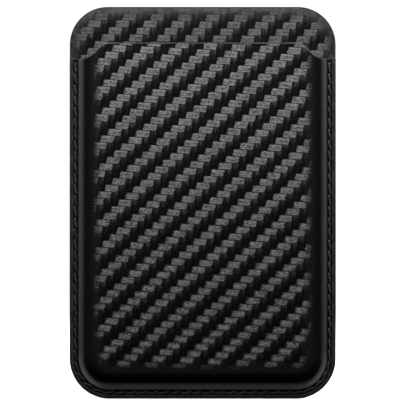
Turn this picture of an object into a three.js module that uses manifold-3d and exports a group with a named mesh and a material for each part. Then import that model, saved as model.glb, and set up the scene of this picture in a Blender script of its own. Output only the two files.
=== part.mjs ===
// Magnetic card wallet: a stitched, moulded leather pocket on a flat back panel that holds a ring
// of magnets. Millimetres. It stands upright as on the back of a phone: +X is right, +Z is up,
// the pocket faces -Y and the phone side faces +Y. The origin is the magnet ring's centre on the
// phone-side face.

import * as THREE from 'three';
import { mergeGeometries, mergeVertices } from 'three/addons/utils/BufferGeometryUtils.js';
import Module from 'manifold-3d';

// ---- Driving dimensions ------------------------------------------------------------------------

// Outline
const WIDTH = 66;
const HEIGHT = 97.2;
const TOP_CORNER_R = 9.4;
const BOTTOM_CORNER_R = 9.9;
const SHARPEST_CORNER_R = 0.5;
const EDGE_PAINT_T = 0.3;

// Layers of the back panel, from the phone side to the front
const BACK_COVER_T = 0.7;
const CARRIER_WEB_T = 0.25;
const MAGNET_T = 0.75;
const SHIELD_T = 0.25;
const BACK_SKIN_T = 0.6;

// Pocket: a stack of bank cards with a little slack
const CARD_T = 0.76;
const CARD_COUNT = 3;
const CARD_SLACK = 0.22;

// Layers of the front panel, from the cards to the front
const LINING_T = 0.3;
const STIFFENER_T = 0.4;
const FRONT_SKIN_T = 0.7;

// Moulded front panel: a wall that rises from the rim and rounds over into the flat crown
const WALL_FOOT_INSET = 3.3;
const WALL_RUN = 3;
const SHOULDER_THINNING = 0.4;
const LINING_GAP = 0.1;

// Mouth: a straight edge whose ends fall in an S to the rim
const MOUTH_DROP = 9.05;
const MOUTH_END_INSET = 9.7;
const MOUTH_HANDLE = 2.7;
const RIM_DROP = 12.85;
const RIM_END_INSET = 2.6;
const RIM_HANDLE = 4;

// Eased front edge of the lip above the mouth
const LIP_EASE_RUN = 1.6;
const LIP_EASE_DROP = 0.4;

// Seam: one lock stitch round both sides and the bottom
const SEAM_INSET = 1.5;
const SEAM_START_BELOW_RIM = 1;
const STITCH_PITCH = 2.75;
const NEEDLE_THREAD_D = 0.5;
const BOBBIN_THREAD_D = 0.4;
const THREAD_DIP_RUN = 0.45;
const THREAD_CLEARANCE = 0.05;
const HOLE_CLEARANCE = 0.15;
const GROOVE_CLEARANCE = 0.3;
const FRONT_GROOVE_DEPTH = 0.3;

// Magnets, to the sizes that a phone's ring expects
const RING_ABOVE_BOTTOM = 59.2;
const RING_INNER_R = 23;
const RING_BAND_W = 4;
const RING_MAGNET_COUNT = 16;
const RING_OPEN_ANGLE = THREE.MathUtils.degToRad(36);
const RING_MAGNET_SPACING = 0.3;
const BAR_BELOW_RING = 4;
const BAR_WIDTH = 6;
const BAR_LENGTH = 19;
const BAR_CORNER_R = 1;
const MAGNET_CLEARANCE = 0.2;

// Steel shield over the magnets
const SHIELD_INSET = 3.5;
const SHIELD_CLEARANCE = 0.2;
const SHIELD_WINDOW_RIM = 1.5;

// Thumb window that cards are pushed out through, centred in the ring
const WINDOW_WIDTH = 15;
const WINDOW_HEIGHT = 23;

// Facets: each curve takes this many steps, and each arc twice as many
const CURVE_STEPS = 6;
const WALL_STEPS = 5;
const MAGNET_ARC_STEPS = 2;
const RING_GROOVE_STEPS = 24;

// How far a cutting shape runs past what it cuts
const CUT_MARGIN = 1;

// ---- Levels and places that follow from them ---------------------------------------------------

// The wallet is drawn lying on its phone side, with x to the right, y up its length and z through
// its layers towards the front, and is stood up at the end.
const BOTTOM = -RING_ABOVE_BOTTOM;
const TOP = BOTTOM + HEIGHT;
const RIM_TOP = TOP - RIM_DROP;

const CARRIER_LEVEL = BACK_COVER_T;
const MAGNET_LEVEL = CARRIER_LEVEL + CARRIER_WEB_T;
const SHIELD_LEVEL = MAGNET_LEVEL + MAGNET_T;
const BACK_SKIN_LEVEL = SHIELD_LEVEL + SHIELD_T;
const POCKET_LEVEL = BACK_SKIN_LEVEL + BACK_SKIN_T;
const RIM_LEVEL = POCKET_LEVEL + FRONT_SKIN_T;
const LINING_LEVEL = POCKET_LEVEL + CARD_COUNT * CARD_T + CARD_SLACK;
const STIFFENER_LEVEL = LINING_LEVEL + LINING_T;
const CROWN_LEVEL = STIFFENER_LEVEL + STIFFENER_T;
const FRONT_LEVEL = CROWN_LEVEL + FRONT_SKIN_T;

const HOLE_LENGTH = 2 * (THREAD_DIP_RUN + HOLE_CLEARANCE);
const HOLE_WIDTH = NEEDLE_THREAD_D + 2 * HOLE_CLEARANCE;
const GROOVE_WIDTH = NEEDLE_THREAD_D + 2 * GROOVE_CLEARANCE;
const BACK_GROOVE_DEPTH = BOBBIN_THREAD_D + 2 * THREAD_CLEARANCE;
const POCKET_FOOT_INSET = WALL_FOOT_INSET + FRONT_SKIN_T;
const POCKET_CROWN_INSET = WALL_FOOT_INSET + WALL_RUN - SHOULDER_THINNING;
const RING_OUTER_R = RING_INNER_R + RING_BAND_W;
const BAR_CENTRE_Y = -RING_OUTER_R - BAR_BELOW_RING - BAR_LENGTH / 2;

// ---- Outlines ----------------------------------------------------------------------------------

// A rounded rectangle, anticlockwise, with its own radii at the bottom and the top.
function roundedRectangle(left, bottom, right, top, bottomR, topR) {
  const shape = new THREE.Shape();
  shape.absarc(right - topR, top - topR, topR, 0, Math.PI / 2);
  shape.absarc(left + topR, top - topR, topR, Math.PI / 2, Math.PI);
  shape.absarc(left + bottomR, bottom + bottomR, bottomR, Math.PI, 1.5 * Math.PI);
  shape.absarc(right - bottomR, bottom + bottomR, bottomR, 1.5 * Math.PI, 2 * Math.PI);
  return shape;
}

// The wallet's outline, moved in by an inset.
function outline(inset) {
  const x = WIDTH / 2 - inset;
  const bottomR = Math.max(BOTTOM_CORNER_R - inset, SHARPEST_CORNER_R);
  const topR = Math.max(TOP_CORNER_R - inset, SHARPEST_CORNER_R);
  return roundedRectangle(-x, BOTTOM + inset, x, TOP - inset, bottomR, topR);
}

// The thumb window's outline, moved out by a margin.
function windowOutline(margin) {
  const x = WINDOW_WIDTH / 2 + margin;
  const y = WINDOW_HEIGHT / 2 + margin;
  return roundedRectangle(-x, -y, x, y, x, x);
}

// The bar magnet's outline, moved out by a margin.
function barOutline(margin) {
  const x = BAR_WIDTH / 2 + margin;
  const y = BAR_LENGTH / 2 + margin;
  const r = BAR_CORNER_R + margin;
  return roundedRectangle(-x, BAR_CENTRE_Y - y, x, BAR_CENTRE_Y + y, r, r);
}

// A piece of the ring, from one angle to another, widened by a margin on every side.
function ringSector(from, to, margin) {
  const angleMargin = margin / RING_INNER_R;
  const shape = new THREE.Shape();
  shape.absarc(0, 0, RING_OUTER_R + margin, from - angleMargin, to + angleMargin, false);
  shape.absarc(0, 0, RING_INNER_R - margin, to + angleMargin, from - angleMargin, true);
  return shape;
}

// Everything below the mouth, with the mouth lowered by a coat of paint.
function belowMouth(coat) {
  const side = WIDTH / 2 + CUT_MARGIN;
  const mouthY = TOP - MOUTH_DROP - coat;
  const mouthX = WIDTH / 2 - MOUTH_END_INSET;
  const rimY = RIM_TOP - coat;
  const rimX = WIDTH / 2 - RIM_END_INSET;
  const shape = new THREE.Shape();
  shape.moveTo(-side, BOTTOM - CUT_MARGIN);
  shape.lineTo(side, BOTTOM - CUT_MARGIN);
  shape.lineTo(side, rimY);
  shape.lineTo(rimX, rimY);
  shape.bezierCurveTo(rimX - RIM_HANDLE, rimY, mouthX + MOUTH_HANDLE, mouthY, mouthX, mouthY);
  shape.lineTo(-mouthX, mouthY);
  shape.bezierCurveTo(-mouthX - MOUTH_HANDLE, mouthY, -rimX + RIM_HANDLE, rimY, -rimX, rimY);
  shape.lineTo(-side, rimY);
  return shape;
}

// ---- Solids ------------------------------------------------------------------------------------

const wasm = await Module();
wasm.setup();

// A closed geometry as a solid that can be joined and cut.
function solidOf(geometry) {
  geometry.deleteAttribute('normal');
  geometry.deleteAttribute('uv');
  const merged = mergeVertices(geometry, 1e-4);
  return new wasm.Manifold(new wasm.Mesh({
    numProp: 3,
    vertProperties: new Float32Array(merged.attributes.position.array),
    triVerts: new Uint32Array(merged.index.array),
  }));
}

// A solid as the geometry of a mesh.
function geometryOf(solid) {
  const { vertProperties, triVerts } = solid.getMesh();
  const geometry = new THREE.BufferGeometry();
  geometry.setAttribute('position', new THREE.BufferAttribute(new Float32Array(vertProperties), 3));
  geometry.setIndex(new THREE.BufferAttribute(new Uint32Array(triVerts), 1));
  geometry.computeVertexNormals();
  return geometry;
}

// A flat layer of an outline between two levels.
function layer(shape, from, to, steps = CURVE_STEPS) {
  const options = { depth: to - from, bevelEnabled: false, curveSegments: steps };
  const geometry = new THREE.ExtrudeGeometry(shape, options);
  return solidOf(geometry.translate(0, 0, from));
}

// A layer whose front edge rounds over, from its foot in to its crown.
function roundedLayer(footInset, run, from, to, drop) {
  const options = {
    depth: to - from,
    bevelSize: run,
    bevelThickness: drop,
    bevelSegments: WALL_STEPS,
    curveSegments: CURVE_STEPS,
  };
  const geometry = new THREE.ExtrudeGeometry(outline(footInset + run), options);
  const rounded = solidOf(geometry.translate(0, 0, from - drop));
  return rounded.intersect(layer(outline(footInset), from, to));
}

// A box across the whole width between two heights and two levels.
function slab(bottom, top, from, to) {
  const geometry = new THREE.BoxGeometry(WIDTH + 2 * CUT_MARGIN, top - bottom, to - from);
  return solidOf(geometry.translate(0, (bottom + top) / 2, (from + to) / 2));
}

// ---- Seam --------------------------------------------------------------------------------------

// The line of the seam: down the left side, across the bottom and up the right side.
function seamLine() {
  const x = WIDTH / 2 - SEAM_INSET;
  const start = RIM_TOP - SEAM_START_BELOW_RIM;
  const r = BOTTOM_CORNER_R - SEAM_INSET;
  const cornerY = BOTTOM + SEAM_INSET + r;
  const line = new THREE.Path();
  line.moveTo(-x, start);
  line.lineTo(-x, cornerY);
  line.absarc(-x + r, cornerY, r, Math.PI, 1.5 * Math.PI);
  line.absarc(x - r, cornerY, r, 1.5 * Math.PI, 2 * Math.PI);
  line.lineTo(x, start);
  return line;
}

const seam = seamLine();
const stitchCount = Math.round(seam.getLength() / STITCH_PITCH);
const dipShare = THREAD_DIP_RUN * stitchCount / seam.getLength();

// The holes that the needle makes, through every layer.
function stitchHoles() {
  const holes = [];
  for (let i = 0; i <= stitchCount; i++) {
    const place = seam.getPoint(i / stitchCount);
    const along = seam.getTangent(i / stitchCount);
    const hole = new THREE.BoxGeometry(HOLE_LENGTH, HOLE_WIDTH, FRONT_LEVEL + 2 * CUT_MARGIN);
    hole.rotateZ(along.angle());
    hole.translate(place.x, place.y, FRONT_LEVEL / 2);
    holes.push(hole);
  }
  return solidOf(mergeGeometries(holes));
}

// The channel that keeps the thread below the surface, between two levels.
function seamGroove(from, to) {
  const outer = layer(outline(SEAM_INSET - GROOVE_WIDTH / 2), from, to);
  const inner = layer(outline(SEAM_INSET + GROOVE_WIDTH / 2), from, to);
  const ends = slab(seam.getPoint(0).y + HOLE_LENGTH / 2, TOP + CUT_MARGIN, from, to);
  return outer.subtract(inner).subtract(ends);
}

// One thread's path: along the surface between the holes, and down into each hole.
class ThreadPath extends THREE.Curve {
  constructor(surfaceLevel, dipLevel) {
    super();
    this.surfaceLevel = surfaceLevel;
    this.dipLevel = dipLevel;
  }

  getPoint(t) {
    const stitch = t * stitchCount;
    const fromHole = Math.abs(stitch - Math.round(stitch));
    const risen = Math.min(fromHole / dipShare, 1);
    const place = seam.getPoint(t);
    const level = THREE.MathUtils.lerp(this.dipLevel, this.surfaceLevel, risen);
    return new THREE.Vector3(place.x, place.y, level);
  }

  // Three even steps along a stitch land in the hole and at both ends of the straight stretch.
  getUtoTmapping(u) {
    const thirds = u * stitchCount * 3;
    const stitch = Math.floor(thirds / 3 + 1e-6);
    const step = Math.round(thirds - stitch * 3);
    const share = [0, dipShare, 1 - dipShare][step];
    return (stitch + share) / stitchCount;
  }
}

// A thread of square section along its path.
function thread(diameter, surfaceLevel, dipLevel) {
  const r = diameter / 2;
  const section = new THREE.Shape();
  section.moveTo(-r, -r);
  section.lineTo(r, -r);
  section.lineTo(r, r);
  section.lineTo(-r, r);
  const path = new ThreadPath(surfaceLevel, dipLevel);
  const options = { steps: stitchCount * 3, extrudePath: path };
  return solidOf(new THREE.ExtrudeGeometry(section, options));
}

function needleThread() {
  const offset = NEEDLE_THREAD_D / 2 + THREAD_CLEARANCE;
  const surface = RIM_LEVEL - FRONT_GROOVE_DEPTH + offset;
  return thread(NEEDLE_THREAD_D, surface, POCKET_LEVEL + offset);
}

function bobbinThread() {
  const offset = BOBBIN_THREAD_D / 2 + THREAD_CLEARANCE;
  return thread(BOBBIN_THREAD_D, BACK_GROOVE_DEPTH - offset, CARRIER_LEVEL - offset);
}

// ---- Back panel --------------------------------------------------------------------------------

const windowCut = layer(windowOutline(0), -CUT_MARGIN, POCKET_LEVEL + CUT_MARGIN);

function backCover() {
  const groove = seamGroove(-CUT_MARGIN, BACK_GROOVE_DEPTH);
  const sheet = layer(outline(EDGE_PAINT_T), 0, CARRIER_LEVEL);
  return sheet.subtract(windowCut).subtract(groove).subtract(stitchHoles());
}

// The angles where the ring of magnets starts and ends, open at the bottom.
const RING_START = RING_OPEN_ANGLE / 2 - Math.PI / 2;
const RING_END = RING_START + 2 * Math.PI - RING_OPEN_ANGLE;
const MAGNET_STEP = (RING_END - RING_START) / RING_MAGNET_COUNT;

function magnetCarrier() {
  const past = BACK_SKIN_LEVEL + CUT_MARGIN;
  const ringShape = ringSector(RING_START, RING_END, MAGNET_CLEARANCE);
  const ringGroove = layer(ringShape, MAGNET_LEVEL, past, RING_GROOVE_STEPS);
  const barSlot = layer(barOutline(MAGNET_CLEARANCE), MAGNET_LEVEL, past);
  const recess = layer(outline(SHIELD_INSET - SHIELD_CLEARANCE), SHIELD_LEVEL, past);
  const island = layer(windowOutline(SHIELD_WINDOW_RIM - SHIELD_CLEARANCE), SHIELD_LEVEL, past);
  const board = layer(outline(EDGE_PAINT_T), CARRIER_LEVEL, BACK_SKIN_LEVEL);
  const recessed = board.subtract(recess.subtract(island));
  return recessed.subtract(ringGroove).subtract(barSlot).subtract(windowCut);
}

// One arc magnet, centred on the +X direction.
function ringMagnet() {
  const halfSpacing = RING_MAGNET_SPACING / 2 / RING_INNER_R;
  const half = MAGNET_STEP / 2 - halfSpacing;
  return layer(ringSector(-half, half, 0), MAGNET_LEVEL, SHIELD_LEVEL, MAGNET_ARC_STEPS);
}

function alignmentMagnet() {
  return layer(barOutline(0), MAGNET_LEVEL, SHIELD_LEVEL);
}

function shieldPlate() {
  const window = layer(windowOutline(SHIELD_WINDOW_RIM), 0, POCKET_LEVEL);
  return layer(outline(SHIELD_INSET), SHIELD_LEVEL, BACK_SKIN_LEVEL).subtract(window);
}

function backPanelSkin() {
  const eased = roundedLayer(EDGE_PAINT_T, LIP_EASE_RUN, BACK_SKIN_LEVEL, POCKET_LEVEL, LIP_EASE_DROP);
  const square = layer(outline(EDGE_PAINT_T), BACK_SKIN_LEVEL, POCKET_LEVEL);
  const lip = slab(RIM_TOP, TOP + CUT_MARGIN, BACK_SKIN_LEVEL, POCKET_LEVEL);
  return eased.add(square.subtract(lip)).subtract(windowCut);
}

function windowEdgePaint() {
  const opening = layer(windowOutline(-EDGE_PAINT_T), -CUT_MARGIN, POCKET_LEVEL + CUT_MARGIN);
  return layer(windowOutline(0), 0, POCKET_LEVEL).subtract(opening);
}

// ---- Front panel -------------------------------------------------------------------------------

// A flat sheet glued behind the crown, inside the pocket.
function crownSheet(from, to) {
  return layer(outline(POCKET_CROWN_INSET + LINING_GAP), from, to);
}

// The moulded shell: a flat rim, a wall and a crown over the pocket.
function mouldedShell() {
  const rim = layer(outline(EDGE_PAINT_T), POCKET_LEVEL, RIM_LEVEL);
  const dome = roundedLayer(WALL_FOOT_INSET, WALL_RUN, POCKET_LEVEL, FRONT_LEVEL, FRONT_LEVEL - RIM_LEVEL);
  const run = POCKET_CROWN_INSET - POCKET_FOOT_INSET;
  const depth = CROWN_LEVEL - POCKET_LEVEL;
  const pocket = roundedLayer(POCKET_FOOT_INSET, run, POCKET_LEVEL, CROWN_LEVEL, depth);
  return rim.add(dome).subtract(pocket);
}

// What lies below the mouth, through every level of the front panel.
function frontCut(coat) {
  return layer(belowMouth(coat), POCKET_LEVEL, FRONT_LEVEL + CUT_MARGIN);
}

function frontPanelSkin() {
  const groove = seamGroove(RIM_LEVEL - FRONT_GROOVE_DEPTH, RIM_LEVEL + CUT_MARGIN);
  const shell = mouldedShell().intersect(frontCut(EDGE_PAINT_T));
  return shell.subtract(groove).subtract(stitchHoles());
}

function frontStiffener() {
  return crownSheet(STIFFENER_LEVEL, CROWN_LEVEL).intersect(frontCut(EDGE_PAINT_T));
}

function frontLining() {
  return crownSheet(LINING_LEVEL, STIFFENER_LEVEL).intersect(frontCut(EDGE_PAINT_T));
}

function mouthEdgePaint() {
  const strip = frontCut(0).subtract(frontCut(EDGE_PAINT_T));
  return mouldedShell().add(crownSheet(LINING_LEVEL, CROWN_LEVEL)).intersect(strip);
}

// The coat on the wallet's outer edge: as high as the rim, and lower round the eased lip.
function edgePaint() {
  const core = layer(outline(EDGE_PAINT_T), -CUT_MARGIN, RIM_LEVEL + CUT_MARGIN);
  const easedLevel = POCKET_LEVEL - LIP_EASE_DROP;
  const aboveLip = slab(RIM_TOP, TOP + CUT_MARGIN, easedLevel, RIM_LEVEL + CUT_MARGIN);
  return layer(outline(0), 0, RIM_LEVEL).subtract(core).subtract(aboveLip);
}

// ---- Materials ---------------------------------------------------------------------------------

function material(color, roughness, metalness = 0) {
  return new THREE.MeshStandardMaterial({ color, roughness, metalness });
}

const wovenLeather = () => material(0x2b2b2d, 0.45);
const suedeLeather = () => material(0x1c1c1e, 0.95);
const foamBoard = () => material(0x4a4a4c, 0.9);
const nickelMagnet = () => material(0xb8b6b0, 0.3, 1);
const zincSteel = () => material(0x9a9da0, 0.4, 1);
const edgeCoat = () => material(0x161617, 0.4);
const bondedThread = () => material(0x1a1a1b, 0.6);
const plasticSheet = () => material(0xd8d8d4, 0.5);
const microfibre = () => material(0x202022, 0.95);

// ---- Assembly ----------------------------------------------------------------------------------

function add(group, name, solid, finish) {
  const mesh = new THREE.Mesh(geometryOf(solid), finish);
  mesh.name = name;
  group.add(mesh);
  return mesh;
}

const backPanel = new THREE.Group();
add(backPanel, 'back_cover', backCover(), suedeLeather());
add(backPanel, 'magnet_carrier', magnetCarrier(), foamBoard());
for (let i = 0; i < RING_MAGNET_COUNT; i++) {
  const name = `ring_magnet_${String(i + 1).padStart(2, '0')}`;
  const magnet = add(backPanel, name, ringMagnet(), nickelMagnet());
  magnet.rotation.z = RING_START + (i + 0.5) * MAGNET_STEP;
}
add(backPanel, 'alignment_magnet', alignmentMagnet(), nickelMagnet());
add(backPanel, 'shield_plate', shieldPlate(), zincSteel());
add(backPanel, 'back_panel_skin', backPanelSkin(), wovenLeather());
add(backPanel, 'window_edge_paint', windowEdgePaint(), edgeCoat());

const frontPanel = new THREE.Group();
add(frontPanel, 'front_lining', frontLining(), microfibre());
add(frontPanel, 'front_stiffener', frontStiffener(), plasticSheet());
add(frontPanel, 'front_panel_skin', frontPanelSkin(), wovenLeather());
add(frontPanel, 'mouth_edge_paint', mouthEdgePaint(), edgeCoat());

const edge = new THREE.Group();
add(edge, 'needle_thread', needleThread(), bondedThread());
add(edge, 'bobbin_thread', bobbinThread(), bondedThread());
add(edge, 'edge_paint', edgePaint(), edgeCoat());

const wallet = new THREE.Group();
wallet.add(backPanel, frontPanel, edge);
wallet.rotation.x = Math.PI / 2;

export default wallet;
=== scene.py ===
"""A magnetic card wallet of woven-look leather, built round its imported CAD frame."""

import math

import bpy
from mathutils import Matrix, Vector


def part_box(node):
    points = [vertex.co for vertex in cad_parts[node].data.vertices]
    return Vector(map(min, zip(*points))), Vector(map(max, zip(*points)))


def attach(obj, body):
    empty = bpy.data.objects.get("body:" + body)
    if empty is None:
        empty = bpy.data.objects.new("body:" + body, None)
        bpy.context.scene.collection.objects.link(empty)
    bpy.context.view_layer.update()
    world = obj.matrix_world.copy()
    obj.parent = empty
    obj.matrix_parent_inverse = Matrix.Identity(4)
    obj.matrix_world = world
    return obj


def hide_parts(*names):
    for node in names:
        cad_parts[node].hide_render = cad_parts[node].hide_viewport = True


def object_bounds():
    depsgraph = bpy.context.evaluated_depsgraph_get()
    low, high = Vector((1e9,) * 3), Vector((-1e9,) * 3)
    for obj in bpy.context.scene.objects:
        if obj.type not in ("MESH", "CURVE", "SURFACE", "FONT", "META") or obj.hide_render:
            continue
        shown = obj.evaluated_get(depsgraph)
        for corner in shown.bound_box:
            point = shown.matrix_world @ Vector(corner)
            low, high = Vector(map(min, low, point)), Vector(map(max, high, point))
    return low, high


bl_info = {
    "name": "Magnetic Card Wallet",
    "version": (1, 0, 0),
    "blender": (4, 5, 0),
    "location": "3D View > Sidebar > Wallet",
    "description": "Builds a stitched magnetic card wallet round its packed frame",
    "category": "Add Mesh",
}

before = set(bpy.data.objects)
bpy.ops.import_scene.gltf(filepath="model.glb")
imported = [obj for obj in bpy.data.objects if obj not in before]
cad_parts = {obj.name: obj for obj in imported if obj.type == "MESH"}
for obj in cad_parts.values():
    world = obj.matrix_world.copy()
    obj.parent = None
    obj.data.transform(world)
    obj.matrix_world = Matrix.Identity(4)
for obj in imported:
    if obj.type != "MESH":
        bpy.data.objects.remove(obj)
cad_low, cad_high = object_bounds()

MM = 0.001

# ---- Sizes taken from the frame, in metres --------
# A level is a distance from the face that sits on the phone towards the front, which is -Y.

WIDTH = cad_high.x - cad_low.x
HEIGHT = cad_high.z - cad_low.z
CENTRE_Z = (cad_high.z + cad_low.z) / 2
TOP = cad_high.z
BOTTOM = cad_low.z
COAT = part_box("back_cover")[0].x - cad_low.x
CARRIER_LEVEL = -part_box("magnet_carrier")[1].y
BACK_SKIN_LEVEL = -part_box("back_panel_skin")[1].y
POCKET_LEVEL = -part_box("back_panel_skin")[0].y
RIM_LEVEL = -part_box("edge_paint")[0].y
LINING_LEVEL = -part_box("front_lining")[1].y
STIFFENER_LEVEL = -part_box("front_stiffener")[1].y
FRONT_LEVEL = -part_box("front_panel_skin")[0].y
CROWN_SHEET_INSET = cad_high.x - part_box("front_lining")[1].x
MOUTH_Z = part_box("mouth_edge_paint")[1].z
RIM_END_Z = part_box("mouth_edge_paint")[0].z + COAT
WINDOW_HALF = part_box("window_edge_paint")[1]

# ---- Sizes of the outline, as the CAD draws them --------

TOP_CORNER_R = 9.4 * MM
BOTTOM_CORNER_R = 9.9 * MM
MOUTH_X = 23.3 * MM
MOUTH_HANDLE = 2.7 * MM
RIM_END_X = 30.4 * MM
RIM_HANDLE = 4 * MM
SEAM_INSET = 1.5 * MM
SEAM_TOP_Z = RIM_END_Z - 1 * MM

# ---- Sizes of the shaped pieces, in metres --------

# How far a cutter goes past the faces that it cuts, and how tall one is that clears all above
# the mouth. Edges shorter than a sliver are merged after a cut.
PAST = 1 * MM
CLEAR_HEIGHT = 2 * (TOP - RIM_END_Z)
SLIVER = 0.005 * MM
CORNER_STEPS = 20
MOUTH_STEPS = 14
SHARP_ANGLE = math.radians(40)
SMOOTH_ANGLE = math.radians(32)

# What lies further in than this is moved up along the bottom, where the ridge is wider.
RIDGE_INSET = 3.1 * MM
BOTTOM_RIDGE_EXTRA = 0.45 * MM

# The lip's eased border: half the height over which it ends above the rim, its rings as shares
# of its width, and how near a vertex has to be to count as on a ring.
RIM_END_EASE = 0.2 * MM
EASE_SHARES = (0.0, 0.06, 0.14, 0.26, 0.42, 0.62, 0.8, 1.0)
NEAR = 0.03 * MM

# The needle's slots, and the channel that sinks the thread into the cover, with how far it runs
# on above the seam.
SLOT_R = 0.36 * MM
SLOT_STRETCH = 1.45
CHANNEL_R = 0.52 * MM
CHANNEL_PAST = 0.6 * MM

# The two lines pressed into the cover on both sides of the magnet ring.
RING_LINE_RS = (22.6 * MM, 27.4 * MM)
LINE_R = 0.36 * MM
LINE_LIFT = 0.12 * MM

LINING_ROUNDING = 0.06 * MM

# Half a stitch, from its end to its middle: (share of the half length, share of the way up). Its
# three plies are the lobes of a round whose every third vertex is pulled in.
STITCH_HALF = ((1.0, 0.0), (0.93, 0.35), (0.82, 0.72), (0.64, 0.93), (0.36, 1.0), (0.0, 1.03))
PLY_HOLLOW = 0.62
PLY_TWIST = math.radians(34)

# The front of the moulded shell, from its outer edge in: (inset, level) in millimetres. A rolled
# edge over a straight one, the sunk seam channel, a ridge pressed up beside it, then the wall up
# to the crown.
SHELL_EDGE = 0.52
SHELL_FRONT = (
    (0.36, 3.18), (0.48, 3.25), (0.90, 3.25), (0.98, 3.20), (1.06, 3.05), (1.18, 2.95),
    (1.50, 2.93), (1.88, 2.95), (2.06, 3.03), (2.17, 3.19), (2.28, 3.28), (2.46, 3.34),
    (2.70, 3.37), (2.95, 3.35), (3.20, 3.33), (3.38, 3.38), (3.55, 3.52), (3.72, 3.78),
    (3.90, 4.14), (4.10, 4.55), (4.32, 4.96), (4.56, 5.34), (4.84, 5.70), (5.18, 6.00),
    (5.56, 6.23), (5.98, 6.37), (6.42, 6.435), (6.90, 6.45),
)
# The inside of the shell up to the crown, and the same as far as the lining's level, because the
# mouth's coat covers the edges of the lining and the stiffener too.
SHELL_BACK = (
    (3.90, 2.55), (4.10, 2.72), (4.34, 3.20), (4.58, 3.90), (4.84, 4.58), (5.12, 5.12),
    (5.42, 5.48), (5.72, 5.70), (5.95, 5.75),
)
COATED_BACK = (*SHELL_BACK[:5], (5.10, 5.05))

# ---- Where the leather's look changes, in millimetres --------
# Each pair is the start and the end of a gradual change.

# Levels: in front of the lip, out of the seam channel, and on top of the ridge.
POCKET_LEVELS = (2.65, 2.8)
CHANNEL_LEVELS = (3.0, 3.2)
RIDGE_LEVELS = (3.24, 3.34)
# Heights above the bottom: for the wall's painted shade, the ridge's painted highlight and the
# weave's fade; and the share of the whole height up to which the weave gets painted shade.
LOW_WALL_HEIGHTS = (0.0, 9.0)
LOW_RIDGE_HEIGHTS = (4.0, 12.0)
LOW_FADE_HEIGHTS = (6.0, 18.0)
BOTTOM_SHADE_TOP_SHARE = 0.7
# Insets from the outline: onto the wall, and into the weave of each sheet.
WALL_INSETS = (2.75, 3.9)
PANEL_FADE = (5.3, 7.9)
LIP_FADE = (-0.2, 3.8)
# Distances from the middle along the mouth: into its stretch with a painted highlight, and out at its
# end, past which the paint is darker.
MOUTH_HIGHLIGHT_XS = (20.0, 24.0)
MOUTH_END_XS = (28.5, 31.0)

# How far the weave is shifted on each sheet, and how far the lip's is turned.
PANEL_SHIFT = (1.5, 0, 0.44)
LIP_SHIFT = (1.49, 0, 1.89)
LIP_TURN = math.radians(0.6)

# ---- Finishes --------

GRAIN_RELIEF = 0.03 * MM
# Grains to a millimetre in brushed-on paint, along each axis.
BRUSHED = (1.6, 4.0, 1.6)
# The kinds of node that are used most, and what makes a MIX one of colours.
MATH = "ShaderNodeMath"
RANGE = "ShaderNodeMapRange"
MIX = "ShaderNodeMix"
OF_COLOURS = {"output": 2, "data_type": "RGBA"}
VECTOR = "ShaderNodeVectorMath"

# ---- Stage, in metres --------

FLOOR_R = 1.4
SWEEP_R = 0.5
SWEEP_STEPS = 10
# Name, place, width and height of each soft light, and the setting with its power.
LIGHTS = (
    ("Key light", (0, -0.115, 0.172), (0.34, 0.12), "key_power"),
    ("Side light", (-0.52, -0.42, 0.06), (0.3, 0.3), "side_power"),
    ("Side light", (0.52, -0.42, 0.06), (0.3, 0.3), "side_power"),
    ("Back light", (0.05, 0.30, 0.30), (0.5, 0.3), "back_power"),
)
CAMERA_X = 0.075 * MM
CAMERA_DROP = 0.07 * MM


# ---- Modelling helpers --------


def deselect_all():
    """Leaves edit mode and deselects every object."""
    if bpy.context.object and bpy.context.object.mode != "OBJECT":
        bpy.ops.object.mode_set(mode="OBJECT")
    bpy.ops.object.select_all(action="DESELECT")


def make_active(*pieces):
    """Selects only these pieces, the first of them active."""
    deselect_all()
    for piece in pieces:
        piece.select_set(True)
    bpy.context.view_layer.objects.active = pieces[0]


def pick(piece, test=lambda element: True, kind="VERT"):
    """Selects in edit mode the vertices or faces that pass a test, and nothing else."""
    make_active(piece)
    bpy.ops.object.mode_set(mode="EDIT")
    bpy.ops.mesh.select_mode(type=kind)
    bpy.ops.mesh.select_all(action="DESELECT")
    bpy.ops.object.mode_set(mode="OBJECT")
    for element in piece.data.vertices if kind == "VERT" else piece.data.polygons:
        element.select = test(element)
    bpy.ops.object.mode_set(mode="EDIT")


def extrude(along):
    """Extrudes what is selected by a vector."""
    bpy.ops.mesh.extrude_region_move(TRANSFORM_OT_translate={"value": along})


def face_outwards(piece):
    """Turns every face of a closed piece outwards."""
    pick(piece)
    bpy.ops.mesh.normals_make_consistent(inside=False)
    deselect_all()


def rounded_block(name, width, height, centre_z, corner_rs, level, thickness):
    """An upright slab with rounded corners; corner_rs are the bottom and the top radius."""
    deselect_all()
    place = (0, -level, centre_z)
    bpy.ops.mesh.primitive_plane_add(size=1, location=place, rotation=(math.pi / 2, 0, 0))
    block = bpy.context.object
    block.name = name
    block.data.name = name
    block.scale = (width, height, 1)
    bpy.ops.object.transform_apply()
    for side, radius in zip((-1, 1), corner_rs):
        pick(block, lambda vertex: side * (vertex.co.z - centre_z) > 0)
        bpy.ops.mesh.bevel(offset=radius, affect="VERTICES", segments=CORNER_STEPS)
    pick(block, kind="FACE")
    extrude((0, -thickness, 0))
    face_outwards(block)
    return block


def plate(name, inset, level, thickness):
    """A slab with the wallet's own outline, moved in by an inset."""
    corner_rs = (BOTTOM_CORNER_R - inset, TOP_CORNER_R - inset)
    size = (WIDTH - 2 * inset, HEIGHT - 2 * inset)
    return rounded_block(name, *size, CENTRE_Z, corner_rs, level, thickness)


def window_block(name, margin, level, thickness):
    """A slab with the thumb window's outline, moved out by a margin."""
    x = WINDOW_HALF.x + margin
    z = WINDOW_HALF.z + margin
    # A hair less than half the width, so that the two roundings of an end don't meet in a point.
    round_end = x * 0.9999
    return rounded_block(name, 2 * x, 2 * z, 0, (round_end, round_end), level, thickness)


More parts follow.
